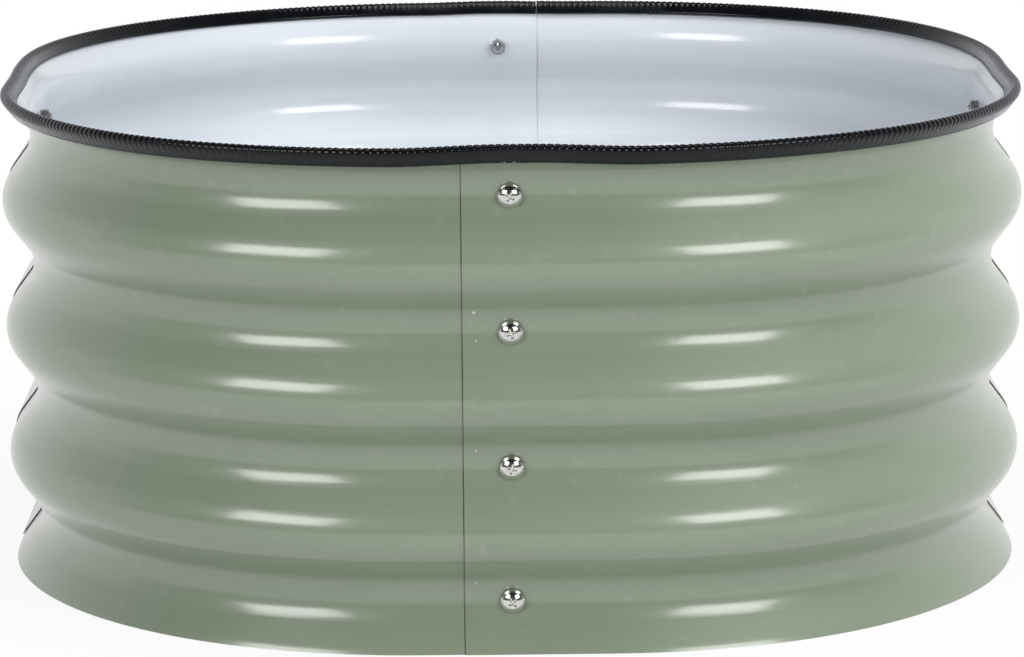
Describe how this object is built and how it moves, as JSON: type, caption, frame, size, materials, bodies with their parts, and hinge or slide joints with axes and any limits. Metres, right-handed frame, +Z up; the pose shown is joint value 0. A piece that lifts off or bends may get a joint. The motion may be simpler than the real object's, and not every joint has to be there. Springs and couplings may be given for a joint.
{
  "type": "raised garden bed",
  "caption": "Bottomless raised garden bed: a low rounded-square wall of corrugated steel panels, lapped and bolted together, with a rubber edge trim round the top.",
  "frame": {"origin": "on the ground, at the middle of the bed's plan", "axes": "+Z up; -Y towards the seam that faces the viewer in the picture; +X towards the viewer's right"},
  "size_m": [0.6109, 0.6109, 0.2849],
  "materials": {
    "green_sheet": "satin",
    "bright_steel": "polished",
    "zinc_steel": "satin",
    "black_rubber": "matte"
  },
  "bodies": {
    "root": {"panel_front_right": "green_sheet", "panel_back_right": "green_sheet", "panel_back_left": "green_sheet", "panel_front_left": "green_sheet", "screw_front_1": "bright_steel", "nut_front_1": "zinc_steel", "screw_front_2": "bright_steel", "nut_front_2": "zinc_steel", "screw_front_3": "bright_steel", "nut_front_3": "zinc_steel", "screw_front_4": "bright_steel", "nut_front_4": "zinc_steel", "screw_right_1": "bright_steel", "nut_right_1": "zinc_steel", "screw_right_2": "bright_steel", "nut_right_2": "zinc_steel", "screw_right_3": "bright_steel", "nut_right_3": "zinc_steel", "screw_right_4": "bright_steel", "nut_right_4": "zinc_steel", "screw_back_1": "bright_steel", "nut_back_1": "zinc_steel", "screw_back_2": "bright_steel", "nut_back_2": "zinc_steel", "screw_back_3": "bright_steel", "nut_back_3": "zinc_steel", "screw_back_4": "bright_steel", "nut_back_4": "zinc_steel", "screw_left_1": "bright_steel", "nut_left_1": "zinc_steel", "screw_left_2": "bright_steel", "nut_left_2": "zinc_steel", "screw_left_3": "bright_steel", "nut_left_3": "zinc_steel", "screw_left_4": "bright_steel", "nut_left_4": "zinc_steel", "edge_trim": "black_rubber", "edge_trim_core": "zinc_steel"}
  },
  "joints": []
}
